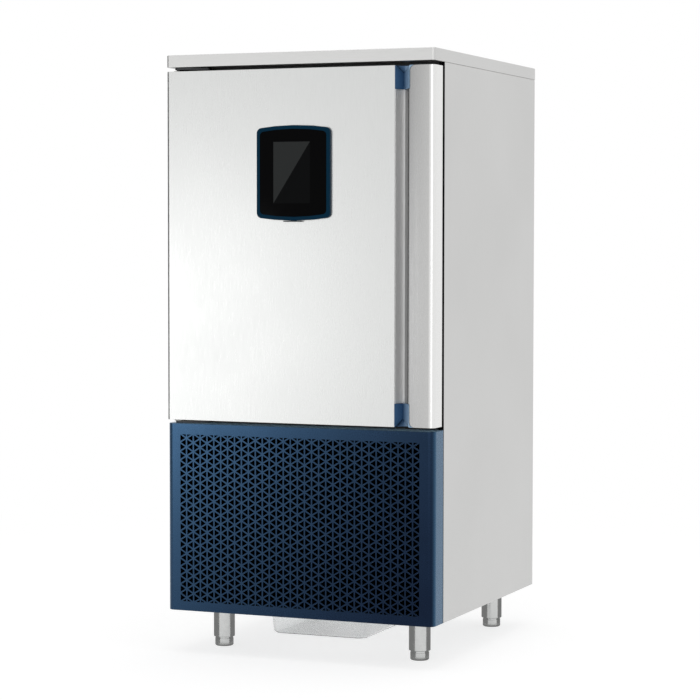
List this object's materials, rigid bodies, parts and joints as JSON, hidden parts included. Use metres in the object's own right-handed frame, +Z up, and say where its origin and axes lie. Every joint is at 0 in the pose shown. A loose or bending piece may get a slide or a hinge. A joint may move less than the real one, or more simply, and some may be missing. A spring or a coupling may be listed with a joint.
{
  "type": "blast chiller cabinet",
  "caption": "Free-standing blast chiller with a hinged insulated door, recessed side handle, touch display, perforated lower panel and screw feet.",
  "frame": {"origin": "on the floor, under the middle of the bounding box", "axes": "+X to the right, -Y to the front where the door is, +Z up"},
  "size_m": [0.79, 0.86, 1.655],
  "materials": {
    "brushed_steel": "fine vertical brushing",
    "satin_steel": "satin",
    "polished_steel": "polished",
    "galvanised_steel": "matt, galvanised sheet",
    "navy_paint": "satin powder coat",
    "blue_plastic": "semi-gloss",
    "bezel_blue": "satin",
    "black_glass": "glossy, opaque from outside",
    "dark_plastic": "matt",
    "black_paint": "satin",
    "yellow_foam": "matt rigid foam",
    "grey_rubber": "matt",
    "white_nylon": "matt",
    "clear_plastic": "translucent",
    "aluminium_fins": "fine fins",
    "copper_tube": "bright copper"
  },
  "bodies": {
    "cabinet": {"left_side_panel": "brushed_steel", "right_side_panel": "brushed_steel", "top_panel": "brushed_steel", "chamber_liner": "satin_steel", "tray_rack_left": "satin_steel", "tray_rack_right": "satin_steel", "fan_panel": "satin_steel", "foot_sleeve_front_left": "polished_steel", "foot_sleeve_front_right": "polished_steel", "foot_sleeve_rear_left": "polished_steel", "foot_sleeve_rear_right": "polished_steel", "hinge_bracket_top": "polished_steel", "hinge_bracket_bottom": "polished_steel", "rear_panel": "galvanised_steel", "rear_grille": "galvanised_steel", "base_plate": "galvanised_steel", "condenser_shroud": "galvanised_steel", "control_box": "galvanised_steel", "drip_tray_runner_left": "galvanised_steel", "drip_tray_runner_right": "galvanised_steel", "lower_front_panel": "navy_paint", "mains_gland": "dark_plastic", "front_frame": "dark_plastic", "compressor": "black_paint", "liquid_receiver": "black_paint", "condenser_fan_motor": "black_paint", "evaporator_fan_motor_upper": "black_paint", "evaporator_fan_motor_lower": "black_paint", "insulation": "yellow_foam", "drain_pipe": "white_nylon", "probe_gland": "white_nylon", "condenser_coil": "aluminium_fins", "evaporator_coil": "aluminium_fins", "filter_drier": "copper_tube", "discharge_pipe": "copper_tube", "condenser_outlet_pipe": "copper_tube", "liquid_pipe": "copper_tube", "suction_pipe": "copper_tube"},
    "door": {"door_skin": "brushed_steel", "door_core": "yellow_foam", "door_inner_panel": "satin_steel", "door_gasket": "grey_rubber", "handle_channel": "satin_steel", "handle_grip": "brushed_steel", "handle_cap_top": "blue_plastic", "handle_cap_bottom": "blue_plastic", "display_bezel": "bezel_blue", "display_glass": "black_glass", "display_module": "dark_plastic", "hinge_bush_top": "white_nylon", "hinge_bush_bottom": "white_nylon"},
    "port_cover": {"port_cover": "dark_plastic"},
    "evaporator_fan_rotor_upper": {"evaporator_fan_rotor_upper": "black_paint"},
    "evaporator_fan_rotor_lower": {"evaporator_fan_rotor_lower": "black_paint"},
    "condenser_fan_rotor": {"condenser_fan_rotor": "black_paint"},
    "drip_tray": {"drip_tray": "clear_plastic"},
    "foot_cup_front_left": {"foot_cup_front_left": "polished_steel"},
    "foot_cup_front_right": {"foot_cup_front_right": "polished_steel"},
    "foot_cup_rear_left": {"foot_cup_rear_left": "polished_steel"},
    "foot_cup_rear_right": {"foot_cup_rear_right": "polished_steel"}
  },
  "joints": [
    {"name": "door_hinge", "type": "hinge", "parent": "cabinet", "child": "door", "pos_m": [-0.371, -0.39, 0.65], "axis": [0, 0, -1], "range_deg": [0, 120]},
    {"name": "port_cover_hinge", "type": "hinge", "parent": "door", "child": "port_cover", "pos_m": [-0.011, -0.4226, 1.1984], "axis": [1, 0, 0], "range_deg": [0, 90]},
    {"name": "evaporator_fan_spin_upper", "type": "hinge", "parent": "cabinet", "child": "evaporator_fan_rotor_upper", "pos_m": [0, 0.1665, 1.32935], "axis": [0, 1, 0], "continuous": true},
    {"name": "evaporator_fan_spin_lower", "type": "hinge", "parent": "cabinet", "child": "evaporator_fan_rotor_lower", "pos_m": [0, 0.1665, 0.92935], "axis": [0, 1, 0], "continuous": true},
    {"name": "condenser_fan_spin", "type": "hinge", "parent": "cabinet", "child": "condenser_fan_rotor", "pos_m": [-0.1085, -0.1632, 0.3263], "axis": [0, 1, 0], "continuous": true},
    {"name": "drip_tray_slide", "type": "slide", "parent": "cabinet", "child": "drip_tray", "axis": [0, -1, 0], "range_m": [0, 0.35]},
    {"name": "foot_screw_front_left", "type": "slide", "parent": "cabinet", "child": "foot_cup_front_left", "axis": [0, 0, 1], "range_m": [-0.04, 0]},
    {"name": "foot_screw_front_right", "type": "slide", "parent": "cabinet", "child": "foot_cup_front_right", "axis": [0, 0, 1], "range_m": [-0.04, 0]},
    {"name": "foot_screw_rear_left", "type": "slide", "parent": "cabinet", "child": "foot_cup_rear_left", "axis": [0, 0, 1], "range_m": [-0.04, 0]},
    {"name": "foot_screw_rear_right", "type": "slide", "parent": "cabinet", "child": "foot_cup_rear_right", "axis": [0, 0, 1], "range_m": [-0.04, 0]}
  ]
}
